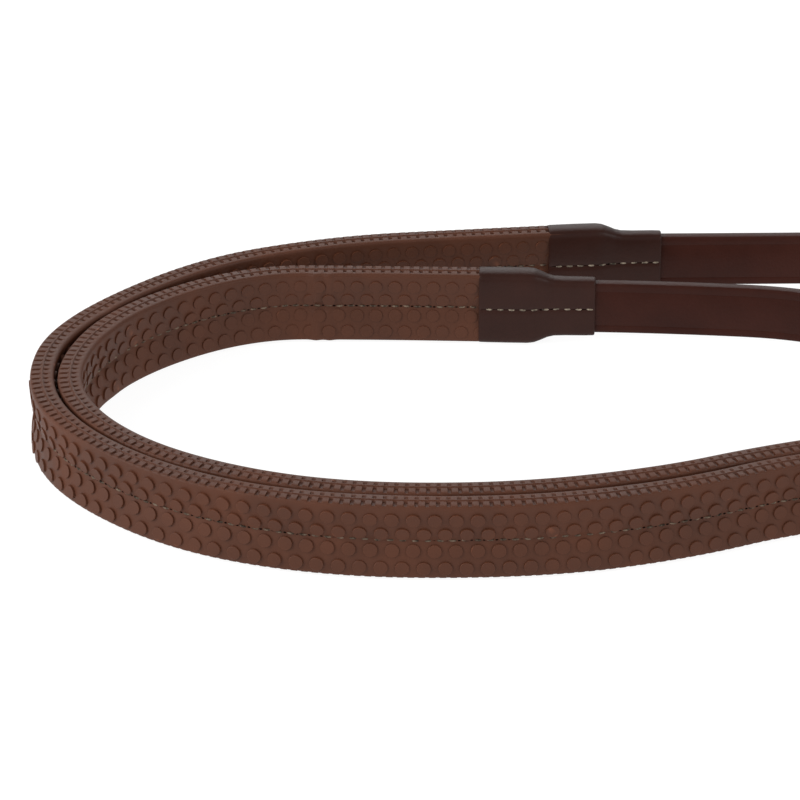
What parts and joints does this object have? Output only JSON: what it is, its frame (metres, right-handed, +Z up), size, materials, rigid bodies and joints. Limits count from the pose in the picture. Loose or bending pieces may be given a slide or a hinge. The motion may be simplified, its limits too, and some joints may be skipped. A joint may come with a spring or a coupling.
{
  "type": "leather reins",
  "caption": "Pair of narrow leather riding reins with pimpled rubber hand grips, buckled together at the hand end, with hook stud billets for the bit rings, laid on edge in a nested loop.",
  "frame": {"origin": "centre of the laid out reins, on the surface they lie on", "axes": "+X along the long side of the laid out loop, towards the buckle; +Y away from the side with the paired rubber grips; +Z up"},
  "size_m": [0.5012, 0.2513, 0.024],
  "materials": {
    "rein_leather": "dark havana brown, satin",
    "sleeve_leather": "darker brown, softly polished",
    "grip_rubber": "brown moulded rubber, matte with pimples",
    "sewing_thread": "waxed tan thread",
    "polished_steel": "polished stainless steel"
  },
  "bodies": {
    "reins": {"buckle_chape": "rein_leather", "chape_thread": "sewing_thread", "fixed_keeper": "rein_leather", "left_billet": "rein_leather", "left_billet_thread": "sewing_thread", "left_bit_sleeve": "sleeve_leather", "left_hand_sleeve": "sleeve_leather", "left_hook_stud": "polished_steel", "left_rein_strap": "rein_leather", "left_ring_keeper": "rein_leather", "left_rubber_grip": "grip_rubber", "left_seam_thread": "sewing_thread", "left_sleeve_thread": "sewing_thread", "left_tail_keeper": "rein_leather", "right_billet": "rein_leather", "right_billet_thread": "sewing_thread", "right_bit_sleeve": "sleeve_leather", "right_hand_sleeve": "sleeve_leather", "right_hook_stud": "polished_steel", "right_rein_strap": "rein_leather", "right_ring_keeper": "rein_leather", "right_rubber_grip": "grip_rubber", "right_seam_thread": "sewing_thread", "right_sleeve_thread": "sewing_thread", "right_tail_keeper": "rein_leather"},
    "buckle_frame": {"buckle_frame": "polished_steel"},
    "buckle_prong": {"buckle_prong": "polished_steel"},
    "runner": {"runner": "rein_leather"}
  },
  "joints": [
    {"name": "buckle_swing", "type": "hinge", "parent": "reins", "child": "buckle_frame", "pos_m": [0.17157, -0.00265, 0.012], "axis": [0, 0, -1], "range_deg": [0, 8]},
    {"name": "prong_swing", "type": "hinge", "parent": "buckle_frame", "child": "buckle_prong", "pos_m": [0.17157, -0.00265, 0.012], "axis": [0, 0, -1], "range_deg": [0, 6]},
    {"name": "runner_slide", "type": "slide", "parent": "reins", "child": "runner", "axis": [-0.2259, -0.9741, 0], "range_m": [-0.009, 0.006]}
  ]
}
